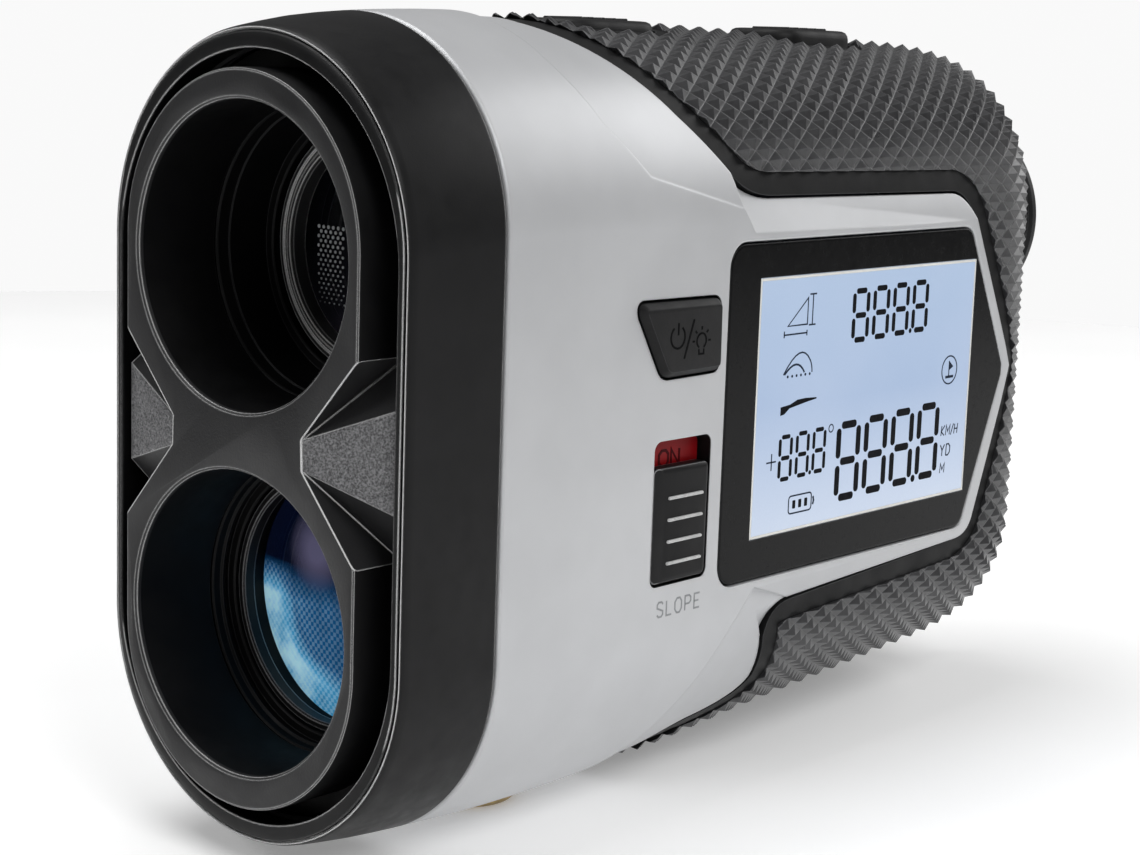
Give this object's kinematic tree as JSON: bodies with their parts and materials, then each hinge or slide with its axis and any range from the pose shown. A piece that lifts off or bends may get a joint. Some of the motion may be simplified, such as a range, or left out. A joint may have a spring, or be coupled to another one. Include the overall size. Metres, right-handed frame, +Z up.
{
  "type": "handheld laser range and speed finder",
  "caption": "Handheld monocular laser range and speed finder with a front shroud, two objectives, a side display, a diamond-knurl grip and an eyepiece.",
  "frame": {"origin": "centre of the underside: middle of the bounding box along X and Y, on the face of the tripod insert, which is its lowest point", "axes": "+Z up, the objectives look along -Y, the display side faces +X"},
  "size_m": [0.0414, 0.122, 0.0803],
  "materials": {
    "silver_paint": "satin metallic paint over moulded plastic",
    "black_plastic": "matte fine texture",
    "dark_plate": "matte, finely sparked texture",
    "grip_rubber": "matte moulded rubber with a diamond knurl",
    "button_rubber": "matte moulded rubber",
    "gloss_black": "glossy black",
    "lcd": "pale blue backlit display",
    "backlight": "white diffuser",
    "optical_glass": "coated clear glass",
    "blue_coated_glass": "blue coated glass",
    "red_plastic": "satin red",
    "steel": "plated",
    "brass": "turned brass",
    "circuit_board": "solder mask",
    "cell_wrap": "shrink sleeve"
  },
  "bodies": {
    "housing": {"front_shroud": "black_plastic", "objective_plate": "dark_plate", "front_seal": "button_rubber", "left_housing": "silver_paint", "right_housing": "silver_paint", "grip_sleeve": "grip_rubber", "tripod_insert": "brass", "lanyard_loop": "steel", "upper_barrel": "black_plastic", "upper_retaining_ring": "black_plastic", "objective_lens_front": "optical_glass", "objective_lens_rear": "optical_glass", "lower_barrel": "black_plastic", "lower_retaining_ring": "black_plastic", "receiver_lens": "blue_coated_glass", "prism_front": "optical_glass", "prism_rear": "optical_glass", "prism_cradle": "black_plastic", "inview_display": "optical_glass", "eyepiece_barrel": "black_plastic", "slope_bed": "red_plastic", "measure_switch": "black_plastic", "mode_switch": "black_plastic", "power_switch": "black_plastic", "slide_switch": "steel", "top_switch_board": "circuit_board", "lcd_bezel": "gloss_black", "lcd_glass": "lcd", "lcd_backlight": "backlight", "lcd_connector": "button_rubber", "lcd_board": "circuit_board", "main_board": "circuit_board", "laser_module": "steel", "receiver_module": "steel", "receiver_board": "circuit_board", "battery": "cell_wrap", "battery_cradle": "black_plastic", "port_socket": "steel", "housing_screw_1": "steel", "housing_screw_2": "steel", "housing_screw_3": "steel", "housing_screw_4": "steel"},
    "measure_button": {"measure_button": "button_rubber"},
    "mode_button": {"mode_button": "button_rubber"},
    "power_button": {"power_button": "button_rubber"},
    "slope_knob": {"slope_knob": "black_plastic"},
    "diopter": {"diopter_ring": "black_plastic", "eyecup": "button_rubber"},
    "focus": {"focus_cell": "black_plastic", "field_lens": "optical_glass", "eye_lens": "optical_glass"},
    "port_cover": {"port_cover": "button_rubber"}
  },
  "joints": [
    {"name": "measure_press", "type": "slide", "parent": "housing", "child": "measure_button", "axis": [0, 0, -1], "range_m": [0, 0.0008], "stiffness_N_per_m": 1500},
    {"name": "mode_press", "type": "slide", "parent": "housing", "child": "mode_button", "axis": [0, 0, -1], "range_m": [0, 0.0008], "stiffness_N_per_m": 1500},
    {"name": "power_press", "type": "slide", "parent": "housing", "child": "power_button", "axis": [-1, 0, 0], "range_m": [0, 0.0008], "stiffness_N_per_m": 1500},
    {"name": "slope_slide", "type": "slide", "parent": "housing", "child": "slope_knob", "axis": [0, 0, 1], "range_m": [0, 0.0022]},
    {"name": "diopter_turn", "type": "hinge", "parent": "housing", "child": "diopter", "pos_m": [0, 0.05575, 0.05753], "axis": [0, 1, 0], "range_deg": [-60, 60]},
    {"name": "focus_slide", "type": "slide", "parent": "housing", "child": "focus", "axis": [0, 1, 0], "range_m": [-0.0012, 0.0012]},
    {"name": "port_cover_open", "type": "hinge", "parent": "housing", "child": "port_cover", "pos_m": [0, 0.05265, 0.0257], "axis": [-1, 0, 0], "range_deg": [0, 110]}
  ],
  "couplings": [
    {"joint": "focus_slide", "follows": "diopter_turn", "m_per_rad": 0.00095}
  ]
}
